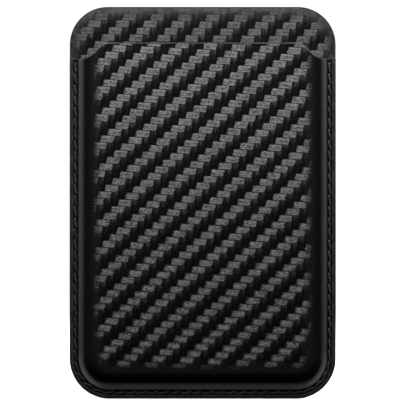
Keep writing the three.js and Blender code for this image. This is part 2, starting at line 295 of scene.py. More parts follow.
def inset_steps(piece, facing, start, steps):
    """Insets a flat side of a block ring by ring to (inset, level) steps in millimetres."""
    pick(piece, lambda face: face.normal.y * facing > 0.99, "FACE")
    inset, level = start
    for next_inset, next_level in steps:
        rise = (level - next_level) * facing * MM
        bpy.ops.mesh.inset(thickness=(next_inset - inset) * MM, depth=rise)
        inset, level = next_inset, next_level
    deselect_all()


def inset_of(place):
    """How far in from the wallet's outline a point is."""
    radius = TOP_CORNER_R if place.z > CENTRE_Z else BOTTOM_CORNER_R
    x = abs(place.x)
    z = abs(place.z - CENTRE_Z)
    past = Vector((max(x - WIDTH / 2 + radius, 0), max(z - HEIGHT / 2 + radius, 0)))
    if past.x and past.y:
        return radius - past.length
    return min(WIDTH / 2 - x, HEIGHT / 2 - z)


def close_slivers(piece):
    """Merges the slivers, a few micrometres wide, that cutting and rounding leave."""
    pick(piece)
    bpy.ops.mesh.remove_doubles(threshold=SLIVER)
    bpy.ops.mesh.dissolve_degenerate(threshold=SLIVER)
    deselect_all()


def carve(piece, cutter, operation="DIFFERENCE"):
    """Cuts one closed piece with another."""
    make_active(piece)
    bpy.ops.object.modifier_add(type="BOOLEAN")
    carving = piece.modifiers[-1]
    carving.operation = operation
    carving.solver = "EXACT"
    carving.object = cutter
    bpy.ops.object.modifier_apply(modifier=carving.name)
    bpy.data.objects.remove(cutter)
    close_slivers(piece)


def soften(piece, width):
    """Rounds a piece's sharp edges."""
    make_active(piece)
    bpy.ops.object.modifier_add(type="BEVEL")
    rounding = piece.modifiers[-1]
    rounding.width = width
    rounding.segments = 3
    rounding.limit_method = "ANGLE"
    rounding.angle_limit = SHARP_ANGLE
    bpy.ops.object.modifier_apply(modifier=rounding.name)
    close_slivers(piece)


def finish_piece(piece, material, slot, *nodes):
    """Shades a finished piece, gives it its finish, parents it to the root body and hides the CAD
    nodes it stands for.
    """
    make_active(piece)
    bpy.ops.object.shade_smooth_by_angle(angle=SMOOTH_ANGLE)
    piece.data.materials.clear()
    piece.data.materials.append(material)
    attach(piece, "root")
    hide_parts(*nodes)
    deselect_all()


def mouth_block(name, lowered, height, level):
    """A block whose underside is the line of the pocket's mouth, from a level to past the front."""
    deselect_all()
    bpy.ops.curve.primitive_bezier_curve_add(location=(0, 0, 0))
    line = bpy.context.object
    line.name = name
    spline = line.data.splines[0]
    spline.bezier_points.add(4)
    line.data.resolution_u = MOUTH_STEPS
    mouth_z = MOUTH_Z - lowered
    rim_z = RIM_END_Z - lowered
    side = WIDTH / 2 + PAST
    places = ((-side, rim_z), (-RIM_END_X, rim_z), (-MOUTH_X, mouth_z))
    places += tuple((-x, z) for x, z in reversed(places))
    reaches = (PAST / 3, RIM_HANDLE, MOUTH_HANDLE, MOUTH_HANDLE, RIM_HANDLE, PAST / 3)
    for point, (x, z), reach in zip(spline.bezier_points, places, reaches):
        point.handle_left_type = "FREE"
        point.handle_right_type = "FREE"
        point.co = (x, -level, z)
        point.handle_left = (x - reach, -level, z)
        point.handle_right = (x + reach, -level, z)
    bpy.ops.object.convert(target="MESH")
    block = bpy.context.object
    pick(block)
    extrude((0, 0, height))
    pick(block)
    extrude((0, level - FRONT_LEVEL - 2 * PAST, 0))
    face_outwards(block)
    return block


# ---- Material helpers --------


def linear(colour):
    """An sRGB hex colour as the linear colour that a shader takes."""
    parts = [int(colour[i:i + 2], 16) / 255 for i in (1, 3, 5)]
    return [c / 12.92 if c <= 0.04045 else ((c + 0.055) / 1.055) ** 2.4 for c in parts] + [1]


def new_material(name):
    """An empty material and its node tree."""
    material = bpy.data.materials.new(name)
    material.use_nodes = True
    material.node_tree.nodes.clear()
    return material, material.node_tree


def add_node(tree, kind, inputs, output=0, **settings):
    """Adds a node with its settings; an input is a value or another node's output.

    Inputs are in the order of the node's sockets, or by their names or numbers. Those of a
    RANGE are the value, the two ends of its range and what they turn into. Those of a MIX are
    0 for the share, 2 and 3 for two numbers or 6 and 7 for two colours.
    """
    node = tree.nodes.new(kind)
    for name, value in settings.items():
        setattr(node, name, value)
    if not isinstance(inputs, dict):
        inputs = dict(enumerate(inputs))
    for name, value in inputs.items():
        if isinstance(value, bpy.types.NodeSocket):
            tree.links.new(value, node.inputs[name])
        else:
            node.inputs[name].default_value = value
    return node.outputs[output]


def close_material(material, inputs):
    """Gives a material its shader, with these inputs, and returns it."""
    tree = material.node_tree
    shader = add_node(tree, "ShaderNodeBsdfPrincipled", inputs)
    output = tree.nodes.new("ShaderNodeOutputMaterial")
    tree.links.new(shader, output.inputs["Surface"])
    return material


def millimetres(tree, turn=0.0, shift=(0, 0, 0)):
    """The piece's own coordinates in millimetres, turned and shifted in its plane."""
    place = add_node(tree, "ShaderNodeTexCoord", {}, "Object")
    inputs = {"Vector": place, "Scale": (1 / MM,) * 3, "Rotation": (0, -turn, 0), "Location": shift}
    return add_node(tree, "ShaderNodeMapping", inputs)


def stretched_noise(tree, place, scale, detail=2.0):
    """Noise with its own number of grains to a millimetre along each axis."""
    spread = add_node(tree, "ShaderNodeMapping", {"Vector": place, "Scale": scale})
    inputs = {"Vector": spread, "Scale": 1.0, "Detail": detail, "Roughness": 0.6}
    return add_node(tree, "ShaderNodeTexNoise", inputs)


def away_from_one(tree, value, scale=1.0):
    """How far a scaled value is from 1."""
    off = add_node(tree, MATH, (value, scale, -1.0), operation="MULTIPLY_ADD")
    return add_node(tree, MATH, (off,), operation="ABSOLUTE")


# ---- Materials --------


def twill_place(tree, place):
    """Where a point lies in the 2/2 twill, in tows: its place along the row and across it.

    Along the row it runs from 0 to 4, and a light tow lies on top from 0 to 2. Across the row it
    runs from 0 to 1.
    """
    weave = bpy.context.scene.wallet_weave
    right = add_node(tree, "ShaderNodeSeparateXYZ", (place,), "X")
    rows = (right.node.outputs["Z"], weave.row_pitch / MM)
    rows = add_node(tree, MATH, rows, operation="DIVIDE")
    row = add_node(tree, MATH, (rows,), operation="FLOOR")
    across = add_node(tree, MATH, (rows,), operation="FRACT")
    # Each row starts one tow further on, and the ends of the tows lean.
    lean = add_node(tree, MATH, (across, weave.end_lean, row), operation="MULTIPLY_ADD")
    columns = add_node(tree, MATH, (right, weave.tow_width / MM), operation="DIVIDE")
    tows = add_node(tree, MATH, (columns, lean), operation="SUBTRACT")
    along = add_node(tree, MATH, (tows, 4.0), operation="FLOORED_MODULO")
    return along, across


def light_tow_cover(tree, off_along, off_row, fray, bottom_shade):
    """Where the light tows lie on top: their ends are round and frayed, and shorter towards the
    bottom, as painted shade.
    """
    corner = add_node(tree, MATH, (off_row, 5.0), operation="POWER")
    corner = add_node(tree, MATH, (corner, 0.16, fray), operation="MULTIPLY_ADD")
    shade_shortening = add_node(tree, MATH, (bottom_shade, 2.4, 1.0), operation="MULTIPLY_ADD")
    corner = add_node(tree, MATH, (corner, shade_shortening), operation="MULTIPLY")
    reach = add_node(tree, MATH, (off_along, corner), operation="ADD")
    cover = (reach, 0.94, 1.1, 1.0, 0.0)
    return add_node(tree, RANGE, cover, interpolation_type="SMOOTHSTEP")


def light_tow_colour(tree, fibre, off_row, bottom_shade, light):
    """Silvery fibres, with a painted highlight towards the sides of a tow and painted shade in the
    seam between rows.
    """
    weave = bpy.context.scene.wallet_weave
    tone = add_node(tree, RANGE, (fibre, 0.39, 0.61, 0.05, 1.0))
    side_highlight = add_node(tree, RANGE, (off_row, 0.35, 0.75, 0.0, 0.45))
    seam_shade = add_node(tree, RANGE, (off_row, 0.78, 1.0, 0.0, -1.5))
    glow = add_node(tree, MATH, (side_highlight, seam_shade), operation="ADD")
    # Towards the bottom the sides of a tow get more painted shade and its crown a little painted
    # highlight.
    edge_shade = add_node(tree, MATH, (off_row, 2.0), operation="POWER")
    edge_shade = add_node(tree, MATH, (edge_shade, bottom_shade), operation="MULTIPLY")
    glow = add_node(tree, MATH, (edge_shade, -1.7, glow), operation="MULTIPLY_ADD")
    glow = add_node(tree, MATH, (bottom_shade, 0.12, glow), operation="MULTIPLY_ADD")
    tone = add_node(tree, MATH, (tone, glow), operation="ADD", use_clamp=True)
    colours = {0: tone, 6: linear(weave.tow_vein), 7: linear(light)}
    return add_node(tree, MIX, colours, **OF_COLOURS)


def dark_tow_colour(tree, fibre, climb, off_column, bottom_shade):
    """Near-black fibres, with a painted highlight on the fibres of the crest and on a tow's upper
    end, where it turns to the light as it dives under the next one; less of it towards the bottom, as
    painted shade.
    """
    weave = bpy.context.scene.wallet_weave
    end = add_node(tree, RANGE, (climb, 1.0, 2.0, 0.0, 1.0), interpolation_type="SMOOTHSTEP")
    line = add_node(tree, RANGE, (fibre, 0.4, 0.64, 0.0, 1.0))
    crest_highlight = add_node(tree, RANGE, (off_column, 0.4, 0.95, 1.0, 0.0))
    line = add_node(tree, MATH, (line, crest_highlight), operation="MULTIPLY")
    tone = add_node(tree, MATH, (end, line), operation="MULTIPLY")
    tone = add_node(tree, MATH, (line, 0.12, tone), operation="MULTIPLY_ADD", use_clamp=True)
    unshaded = add_node(tree, MATH, (bottom_shade, -0.75, 1.0), operation="MULTIPLY_ADD")
    tone = add_node(tree, MATH, (tone, unshaded), operation="MULTIPLY")
    colours = {0: tone, 6: linear(weave.tow_dark), 7: linear(weave.tow_end)}
    return add_node(tree, MIX, colours, **OF_COLOURS)


def outline_inset(tree, from_centre):
    """How far in from the wallet's outline a point is, in millimetres."""
    radius = (TOP_CORNER_R + BOTTOM_CORNER_R) / 2
    # Nothing counts along the depth, so the corner's centre is put a metre away there.
    corner = ((WIDTH / 2 - radius) / MM, 1 / MM, (HEIGHT / 2 - radius) / MM)
    quarter = add_node(tree, VECTOR, (from_centre,), operation="ABSOLUTE")
    past = add_node(tree, VECTOR, (quarter, corner), operation="SUBTRACT")
    past = add_node(tree, VECTOR, (past, (0, 0, 0)), operation="MAXIMUM")
    outwards = add_node(tree, VECTOR, (past,), 1, operation="LENGTH")
    return add_node(tree, MATH, (radius / MM, outwards), operation="SUBTRACT")


def woven_share(tree, inset, height, fray, fade):
    """Where the weave shows: it frays out between two insets, and further in at the bottom, as
    painted shade.
    """
    shade_sag = add_node(tree, RANGE, (height, *LOW_FADE_HEIGHTS, -1.9, 0.0))
    inset = add_node(tree, MATH, (inset, shade_sag), operation="ADD")
    ragged = add_node(tree, MATH, (fray, -6.0, inset), operation="MULTIPLY_ADD")
    return add_node(tree, RANGE, (ragged, *fade, 0.0, 1.0), interpolation_type="SMOOTHSTEP")


def plain_leather(tree, place, inset, height, pebble, grain_light):
    """The colour of the leather without its weave, with painted shade on the pocket's wall and in the
    seam channel and a painted highlight on the ridge, and where the wall is.
    """
    weave = bpy.context.scene.wallet_weave
    wall_shade_colour = linear(weave.wall)
    patches = stretched_noise(tree, place, (0.55, 0.55, 0.55))
    patches = add_node(tree, RANGE, (patches, 0.4, 0.62, 0.15, 1.35))
    grain = add_node(tree, MATH, (pebble, patches), operation="MULTIPLY")
    grain = {0: grain, 6: linear(weave.grain_dark), 7: linear(grain_light)}
    grain = add_node(tree, MIX, grain, **OF_COLOURS)
    depth = add_node(tree, "ShaderNodeSeparateXYZ", (place,), "Y")
    level = add_node(tree, MATH, (depth, -1.0), operation="MULTIPLY")
    pocket = add_node(tree, RANGE, (level, *POCKET_LEVELS, 0.0, 1.0))
    # The seam channel is painted in the wall's dark tone, as painted shade in the recess.
    channel = add_node(tree, RANGE, (level, *CHANNEL_LEVELS, 1.0, 0.0))
    channel = add_node(tree, MATH, (channel, pocket), operation="MULTIPLY")
    rim = add_node(tree, MIX, {0: channel, 6: grain, 7: wall_shade_colour}, **OF_COLOURS)
    # The ridge beside the seam gets a painted highlight, strongest along the bottom, where the
    # pocket's shadow falls on it.
    low = add_node(tree, RANGE, (height, *LOW_RIDGE_HEIGHTS, 1.0, 0.0))
    ridge_highlight = {0: low, 6: linear(weave.ridge), 7: linear(weave.ridge_low_highlight)}
    ridge_highlight = add_node(tree, MIX, ridge_highlight, **OF_COLOURS)
    ridge = add_node(tree, RANGE, (level, *RIDGE_LEVELS, 0.0, 0.75))
    rim = add_node(tree, MIX, {0: ridge, 6: rim, 7: ridge_highlight}, **OF_COLOURS)
    # The wall is painted darker, as painted shade, and stands further in along the bottom.
    foot = add_node(tree, RANGE, (height, *LOW_WALL_HEIGHTS, -0.7, 0.0))
    foot = add_node(tree, MATH, (inset, foot), operation="ADD")
    wall = add_node(tree, RANGE, (foot, *WALL_INSETS, 0.0, 1.0))
    wall = add_node(tree, MATH, (wall, pocket), operation="MULTIPLY")
    colour = add_node(tree, MIX, {0: wall, 6: rim, 7: wall_shade_colour}, **OF_COLOURS)
    return colour, wall


def dive(tree, off_length, off_side):
    """How deep a crowned tow dives at its ends and sides."""
    end = add_node(tree, MATH, (off_length, 4.0), operation="POWER")
    side = add_node(tree, MATH, (off_side, 3.0), operation="POWER")
    return add_node(tree, MATH, (end, side), operation="ADD")


def woven_leather(name, turn, shift, fade, light, grain_light):
    """Polyurethane leather embossed as a 2/2 carbon twill: silvery tows across, dark tows down. The
    silvery tone is partly print and partly a painted reflection of the light that the fibres running
    across catch.

    The emboss stretches out where the sheet is moulded, so between the two insets of its fade,
    in millimetres from the outline, plain grain turns into weave.
    """
    material, tree = new_material(name)
    place = millimetres(tree, turn, shift)
    from_centre = millimetres(tree, 0.0, (0, 0, -CENTRE_Z / MM))
    height = add_node(tree, "ShaderNodeSeparateXYZ", (from_centre,), "Z")
    height = add_node(tree, MATH, (height, HEIGHT / 2 / MM), operation="ADD")
    # The weave is painted darker towards the bottom, as painted shade.
    bottom_shade = add_node(tree, RANGE, (height, 0.0, BOTTOM_SHADE_TOP_SHARE * HEIGHT / MM, 1.0, 0.0))

    along, across = twill_place(tree, place)
    column = add_node(tree, MATH, (along,), operation="FRACT")
    off_along = away_from_one(tree, along)
    off_row = away_from_one(tree, across, 2.0)
    off_column = away_from_one(tree, column, 2.0)
    # A dark tow stays on top for two rows, and climbs from 0 to 2 over them.
    rows_up = add_node(tree, MATH, (along,), operation="FLOOR")
    rows_up = add_node(tree, MATH, (3.0, rows_up), operation="SUBTRACT")
    climb = add_node(tree, MATH, (rows_up, across), operation="ADD")
    off_climb = away_from_one(tree, climb)

    # Fibres drawn in the tows: 0.25 mm apart, coarser than the real ones so that they show.
    light_fibre = stretched_noise(tree, place, (2.1, 1.0, 4.4), 4.0)
    dark_fibre = stretched_noise(tree, place, (4.2, 1.0, 0.8), 3.0)
    fray = stretched_noise(tree, place, (1.4, 1.0, 3.4), 3.0)
    fray = add_node(tree, RANGE, (fray, 0.3, 0.7, 0.0, 0.14))
    pebble = stretched_noise(tree, place, (3.2, 3.2, 3.2), 4.0)

    cover = light_tow_cover(tree, off_along, off_row, fray, bottom_shade)
    light_tow = light_tow_colour(tree, light_fibre, off_row, bottom_shade, light)
    dark_tow = dark_tow_colour(tree, dark_fibre, climb, off_column, bottom_shade)
    woven = add_node(tree, MIX, {0: cover, 6: dark_tow, 7: light_tow}, **OF_COLOURS)
    inset = outline_inset(tree, from_centre)
    shows = woven_share(tree, inset, height, fray, fade)
    plain, wall = plain_leather(tree, place, inset, height, pebble, grain_light)
    colour = add_node(tree, MIX, {0: shows, 6: plain, 7: woven}, **OF_COLOURS)

    # A glossy film over the tows, duller on the stretched grain and dullest on the wall.
    tow_gloss = add_node(tree, RANGE, (cover, 0.0, 1.0, 0.38, 0.34))
    grain_gloss = add_node(tree, RANGE, (pebble, 0.3, 0.7, 0.40, 0.54))
    plain_gloss = add_node(tree, MIX, {0: wall, 2: grain_gloss, 3: 0.8})
    roughness = add_node(tree, MIX, {0: shows, 2: plain_gloss, 3: tow_gloss})

    # Relief: both kinds of tow are crowned, dive at their ends and carry their fibres.
    light_dive = dive(tree, off_along, off_row)
    dark_dive = dive(tree, off_climb, off_column)
    deep = add_node(tree, MIX, {0: cover, 2: dark_dive, 3: light_dive})
    crown = add_node(tree, MATH, (deep, -0.5, 1.0), operation="MULTIPLY_ADD")
    fibres = add_node(tree, MIX, {0: cover, 2: dark_fibre, 3: light_fibre})
    relief = add_node(tree, MATH, (fibres, 0.25, crown), operation="MULTIPLY_ADD")
    relief = add_node(tree, MATH, (relief, shows), operation="MULTIPLY")
    depth = bpy.context.scene.wallet_weave.relief
    weave_bump = {"Height": relief, "Distance": depth, "Strength": 1.0}
    weave_bump = add_node(tree, "ShaderNodeBump", weave_bump)
    bump = {"Height": pebble, "Distance": GRAIN_RELIEF, "Strength": 0.7, "Normal": weave_bump}
    normal = add_node(tree, "ShaderNodeBump", bump)
    inputs = {"Base Color": colour, "Roughness": roughness, "Normal": normal, "IOR": 1.5}
    inputs["Specular IOR Level"] = 0.13
    return close_material(material, inputs)


def suede(name, dark, light, nap):
    """Microfibre suede: short matt fibres brushed in patches, with a soft sheen at the edges."""
    material, tree = new_material(name)
    place = millimetres(tree)
    patches = stretched_noise(tree, place, (0.22, 0.22, 0.16), 3.0)
    fibres = stretched_noise(tree, place, (6.0, 6.0, 4.0), 4.0)
    both = add_node(tree, MIX, {0: 0.45, 2: patches, 3: fibres})
    spread = add_node(tree, RANGE, (both, 0.36, 0.64, 0.0, 1.0))
    tones = {0: spread, 6: linear(dark), 7: linear(light)}
    colour = add_node(tree, MIX, tones, **OF_COLOURS)
    roughness = add_node(tree, RANGE, (patches, 0.3, 0.7, 0.86, 0.98))
    bump = {"Height": fibres, "Distance": nap, "Strength": 0.8}
    normal = add_node(tree, "ShaderNodeBump", bump)
    inputs = {"Base Color": colour, "Roughness": roughness, "Normal": normal}
    inputs.update({"Sheen Weight": 0.25, "Sheen Roughness": 0.4})
    return close_material(material, inputs)


def grained(name, tones, grain, roughness, relief, metallic=0.0, lighten_tone=None):
    """A finish of two close tones with a fine relief; grain is the grains to a millimetre."""
    material, tree = new_material(name)
    place = millimetres(tree)
    noise = stretched_noise(tree, place, grain, 4.0)
    tone = lighten_tone(tree, place, noise) if lighten_tone else noise
    dark, light = tones
    tones = {0: tone, 6: linear(dark), 7: linear(light)}
    colour = add_node(tree, MIX, tones, **OF_COLOURS)
    rough = add_node(tree, RANGE, (noise, 0.3, 0.7, *roughness))
    normal = add_node(tree, "ShaderNodeBump", {"Height": noise, "Distance": relief, "Strength": 0.6})
    inputs = {"Base Color": colour, "Roughness": rough, "Normal": normal, "Metallic": metallic}
    return close_material(material, inputs)


def edge_paint():
    """Brushed-on edge paint: acrylic, satin, slightly uneven along the edge."""
    edges = bpy.context.scene.wallet_edges
    tones = (edges.coat_dark, edges.coat_light)
    return grained("Edge paint, satin acrylic", tones, BRUSHED, (0.34, 0.5), GRAIN_RELIEF)


def mouth_highlight(tree, place, noise):
    """The brushed grain, with a painted highlight beside the ends of the mouth."""
    side = add_node(tree, VECTOR, (place,), operation="ABSOLUTE")
    side = add_node(tree, "ShaderNodeSeparateXYZ", (side,), "X")
    lightened = add_node(tree, RANGE, (side, *MOUTH_HIGHLIGHT_XS, 0.0, 0.4))
    end = add_node(tree, RANGE, (side, *MOUTH_END_XS, 0.0, -0.5))
    lightened = add_node(tree, MATH, (lightened, end), operation="ADD")
    lightened = add_node(tree, MATH, (noise, lightened), operation="ADD")
    return add_node(tree, RANGE, (lightened, 0.35, 1.05, 0.0, 1.0))


def highlighted_paint():
    """The same paint on the mouth's edge, lighter grey as a painted highlight."""
    edges = bpy.context.scene.wallet_edges
    tones = (edges.mouth_dark, edges.mouth_light)
    gloss = (0.3, 0.45)
    return grained("Edge paint, burnished", tones, BRUSHED, gloss, GRAIN_RELIEF, lighten_tone=mouth_highlight)


def bonded_thread():
    """Bonded nylon thread: twisted plies under a thin resin film, so it glints."""
    seam = bpy.context.scene.wallet_seam
    tones = (seam.thread_dark, seam.thread_light)
    return grained("Bonded nylon thread", tones, (5.0, 5.0, 5.0), (0.38, 0.55), GRAIN_RELIEF)


# ---- Settings --------


def number(name, description, default, **more):
    """A number property, with a subtype or a unit where one fits."""
    return bpy.props.FloatProperty(name=name, description=description, default=default, **more)


def length(name, description, default):
    """A length property in metres."""
    return number(name, description, default, min=0, precision=5, unit="LENGTH")


def tone(name, description, default):
    """A colour property, as an sRGB hex value."""
    return bpy.props.StringProperty(name=name, description=description, default=default, maxlen=7)


class WalletWeave(bpy.types.PropertyGroup):
    """The woven-look leather."""

    tow_width: length("Tow width", "Width of a tow of the weave", 1.729 * MM)
    row_pitch: length("Row pitch", "Height of a row of the weave", 1.729 * MM)
    relief: length("Relief", "Height of the embossed weave", 0.09 * MM)
    end_lean: number("End lean", "How far the tow ends lean, in tow widths", 0.2)
    panel_turn: number("Panel turn", "Turn of the front's weave", math.radians(3.02), subtype="ANGLE")
    # A light tow's tone is partly print and partly painted reflection.
    tow_light: tone("Light tow", "Brightest fibres of a light tow", "#767677")
    # The lip's light tow is a darker copy of the panel's, as painted shade.
    lip_light: tone("Lip tow", "Brightest fibres of a light tow on the lip", "#5e5e60")
    tow_vein: tone("Tow vein", "Darkest fibres of a light tow", "#262628")
    tow_dark: tone("Dark tow", "A dark tow", "#040405")
    # The tow end's tone is a painted highlight.
    tow_end: tone("Tow end", "Upper end of a dark tow", "#404043")
    grain_dark: tone("Grain, dark", "Hollows of the plain grain", "#141415")
    grain_light: tone("Grain, light", "Crests of the plain grain", "#343436")
    # The lip's grain is a lighter copy of the panel's, as painted highlight.
    lip_grain: tone("Lip grain", "Crests of the plain grain on the lip", "#39393b")
    # The ridge's two tones are painted highlight, the low one strongest, where the pocket's shadow
    # falls along the bottom.
    ridge: tone("Ridge", "Highlighted ridge beside the seam", "#464647")
    ridge_low_highlight: tone("Low ridge", "The same ridge along the bottom, rubbed more", "#7c7c7e")
    # The wall's tone is painted shade on the pocket's steep wall.
    wall: tone("Wall", "Shaded wall of the pocket", "#070708")


class WalletEdges(bpy.types.PropertyGroup):
    """The painted edges and the eased lip."""

    rounding: length("Rounding", "Rounding of a painted edge", 0.12 * MM)
    lip_ease: length("Lip ease", "How far the lip's top edge is pressed back", 0.4 * MM)
    lip_run: length("Lip run", "Width of the lip's eased border", 1.9 * MM)
    coat_dark: tone("Coat, dark", "Hollows of the edge paint", "#141415")
    coat_light: tone("Coat, light", "Crests of the edge paint", "#2a2a2c")
    # The mouth's two tones are lighter than the outer coat's, as painted highlight.
    mouth_dark: tone("Mouth, dark", "Hollows of the highlighted paint", "#202022")
    mouth_light: tone("Mouth, light", "Crests of the highlighted paint", "#5e5e61")


class WalletSeam(bpy.types.PropertyGroup):
    """The lock-stitched seam."""

    pitch: length("Stitch pitch", "Length of one stitch", 2.75 * MM)
    needle_d: length("Needle thread", "Diameter of the thread on the front", 0.5 * MM)
    bobbin_d: length("Bobbin thread", "Diameter of the thread on the back", 0.4 * MM)
    slant: length("Slant", "Sideways shift from one end of a stitch to the other", 0.4 * MM)
    thread_dark: tone("Thread, dark", "Hollows of the thread", "#18181a")
    thread_light: tone("Thread, light", "Crests of the thread", "#3a3a3c")


class WalletCloth(bpy.types.PropertyGroup):
    """The suede cover and the lining."""

    cover_dark: tone("Cover, dark", "Hollows of the suede cover", "#1a1a1b")
    cover_light: tone("Cover, light", "Fibre tips of the suede cover", "#38383a")
    cover_nap: length("Cover nap", "Height of the cover's nap", 0.08 * MM)
    lining_dark: tone("Lining, dark", "Hollows of the lining", "#1a1a1c")
    lining_light: tone("Lining, light", "Fibre tips of the lining", "#303033")
    lining_nap: length("Lining nap", "Height of the lining's nap", 0.04 * MM)


class WalletStage(bpy.types.PropertyGroup):
    """The floor, the lights and the camera."""

    lens: number("Lens", "Focal length of the camera in millimetres", 300, min=1)
    frame_width: length("Frame width", "Width that the camera sees at the rim", 100.63 * MM)
    key_power: number("Key light", "Power of the light over the front", 1.15, subtype="POWER")
    side_power: number("Side lights", "Power of each light at the sides", 0.42, subtype="POWER")
    back_power: number("Back light", "Power of the light over the back", 5.0, subtype="POWER")
    ambient: number("Ambient", "Strength of the light from all round", 0.02)
    floor_dark: tone("Floor, dark", "Hollows of the floor's paper", "#f2f1ef")
    floor_light: tone("Floor, light", "Crests of the floor's paper", "#f8f8f7")


# ---- Stage --------


class WALLET_OT_stage(bpy.types.Operator):
    """Adds the floor, the lights and the camera"""

    bl_idname = "wallet.stage"
    bl_label = "Stage"

    def execute(self, context):
        stage = context.scene.wallet_stage
        self.add_floor(stage)
        self.add_world(context, stage)
        for name, place, size, power in LIGHTS:
            self.add_light(name, place, size, getattr(stage, power))
        self.add_camera(context, stage)
        return {"FINISHED"}

    def add_floor(self, stage):
        """A floor that sweeps up all round into a backdrop, made from its rim down."""
        deselect_all()
        reach = FLOOR_R + SWEEP_R
        place = (0, 0, BOTTOM + SWEEP_R)
        bpy.ops.mesh.primitive_circle_add(vertices=96, radius=reach, location=place)
        floor = bpy.context.object
        floor.name = "Floor"
        bpy.ops.object.transform_apply()
        pick(floor)
        height = SWEEP_R
        for i in range(SWEEP_STEPS):
            angle = (1 - (i + 1) / SWEEP_STEPS) * math.pi / 2
            lower = SWEEP_R * (1 - math.cos(angle))
            extrude((0, 0, lower - height))
            height = lower
            share = (FLOOR_R + SWEEP_R * math.sin(angle)) / reach
            bpy.ops.transform.resize(value=(share, share, 1), center_override=place)
            reach *= share
        bpy.ops.mesh.edge_face_add()
        make_active(floor)
        bpy.ops.object.shade_smooth()
        floor.data.materials.append(self.paper(stage))
        # The floor neither lights the black leather nor shows in it.
        floor.visible_diffuse = False
        floor.visible_glossy = False
        floor.visible_shadow = False

    def paper(self, stage):
        """A paper sweep: matt and pale, and it glows more with distance so that no horizon shows."""
        material, tree = new_material("Paper sweep")
        place = millimetres(tree)
        tooth = stretched_noise(tree, place, (0.4, 0.4, 0.4))
        shade = {0: tooth, 6: linear(stage.floor_dark), 7: linear(stage.floor_light)}
        colour = add_node(tree, MIX, shade, **OF_COLOURS)
        inputs = {"Base Color": colour, "Roughness": 0.9, "Emission Color": (1, 1, 1, 1)}
        far = add_node(tree, VECTOR, (place,), 1, operation="LENGTH")
        inputs["Emission Strength"] = add_node(tree, RANGE, (far, 120.0, 700.0, 0.55, 1.05))
        return close_material(material, inputs)

    def add_world(self, context, stage):
        """An even, dim light from all round."""
        world = bpy.data.worlds.new("Studio")
        world.use_nodes = True
        background = world.node_tree.nodes["Background"]
        background.inputs["Color"].default_value = (1, 1, 1, 1)
        background.inputs["Strength"].default_value = stage.ambient
        context.scene.world = world
        context.scene.view_settings.view_transform = "Standard"

    def add_light(self, name, place, size, power):
        """A soft rectangular light aimed at the wallet."""
        deselect_all()
        aim = Vector((0, 0, CENTRE_Z)) - Vector(place)
        turn = aim.to_track_quat("-Z", "Y").to_euler()
        bpy.ops.object.light_add(type="AREA", location=place, rotation=turn)
        light = bpy.context.object
        light.name = name
        light.data.shape = "RECTANGLE"
        light.data.size, light.data.size_y = size
        light.data.energy = power
        light.visible_camera = False

    def add_camera(self, context, stage):
        """A long lens square to the front, as high as the wallet's middle."""
        deselect_all()
        bpy.ops.object.camera_add()
        camera = bpy.context.object
        camera.data.lens = stage.lens
        distance = stage.frame_width * stage.lens / camera.data.sensor_width
        camera.location = (CAMERA_X, -RIM_LEVEL - distance, CENTRE_Z - CAMERA_DROP)
        camera.rotation_euler = (math.pi / 2, 0, 0)
        camera.data.clip_start = 0.01
        camera.data.clip_end = 20
        context.scene.camera = camera


# ---- Pieces --------


def seam_places():
    """The needle holes: (x, z, tangent angle), down the left, along the bottom and up the right."""
    seam = bpy.context.scene.wallet_seam
    half = WIDTH / 2 - SEAM_INSET
    radius = BOTTOM_CORNER_R - SEAM_INSET
    corner_z = BOTTOM + SEAM_INSET + radius
    runs = (SEAM_TOP_Z - corner_z, radius * math.pi / 2, 2 * (half - radius))
    total = 2 * runs[0] + 2 * runs[1] + runs[2]
    count = round(total / seam.pitch)
    places = []
    for i in range(count + 1):
        s = total * i / count
        mirrored = s > total / 2
        if mirrored:
            s = total - s
        if s < runs[0]:
            x, z, angle = -half, SEAM_TOP_Z - s, -math.pi / 2
        elif s < runs[0] + runs[1]:
            bend = (s - runs[0]) / radius
            x = -half + radius * (1 - math.cos(bend))
            z = corner_z - radius * math.sin(bend)
            angle = bend - math.pi / 2
        else:
            x, z, angle = -half + radius + (s - runs[0] - runs[1]), BOTTOM + SEAM_INSET, 0.0
        places.append((-x, z, -angle) if mirrored else (x, z, angle))
    return places


def copies_along(piece, places):
    """Copies a piece to each place of the seam, each copy with its own mesh, and joins them."""
    made = []
    for x, z, angle in places:
        make_active(piece)
        bpy.ops.object.duplicate()
        copy = bpy.context.object
        copy.matrix_world = Matrix.Translation((x, 0, z)) @ Matrix.Rotation(-angle, 4, "Y")
        made.append(copy)
    name = piece.name
    bpy.data.objects.remove(piece)
    make_active(*made)
    bpy.ops.object.join()
    joined = bpy.context.object
    joined.name = name
    joined.data.name = name
    bpy.ops.object.transform_apply()
    return joined


def hole_block(level, thickness):
    """The needle's slots: blunt-ended slits a little wider than the thread."""
    deselect_all()
    place = (0, -level - thickness / 2, 0)
    turn = (math.pi / 2, 0, 0)
    bpy.ops.mesh.primitive_cylinder_add(
        vertices=12, radius=SLOT_R, depth=thickness, location=place, rotation=turn
    )
    slot = bpy.context.object
    slot.name = "slots"
    bpy.ops.object.transform_apply()
    pick(slot)
    bpy.ops.transform.resize(value=(SLOT_STRETCH, 1, 1), center_override=place)
    deselect_all()
    return copies_along(slot, seam_places())


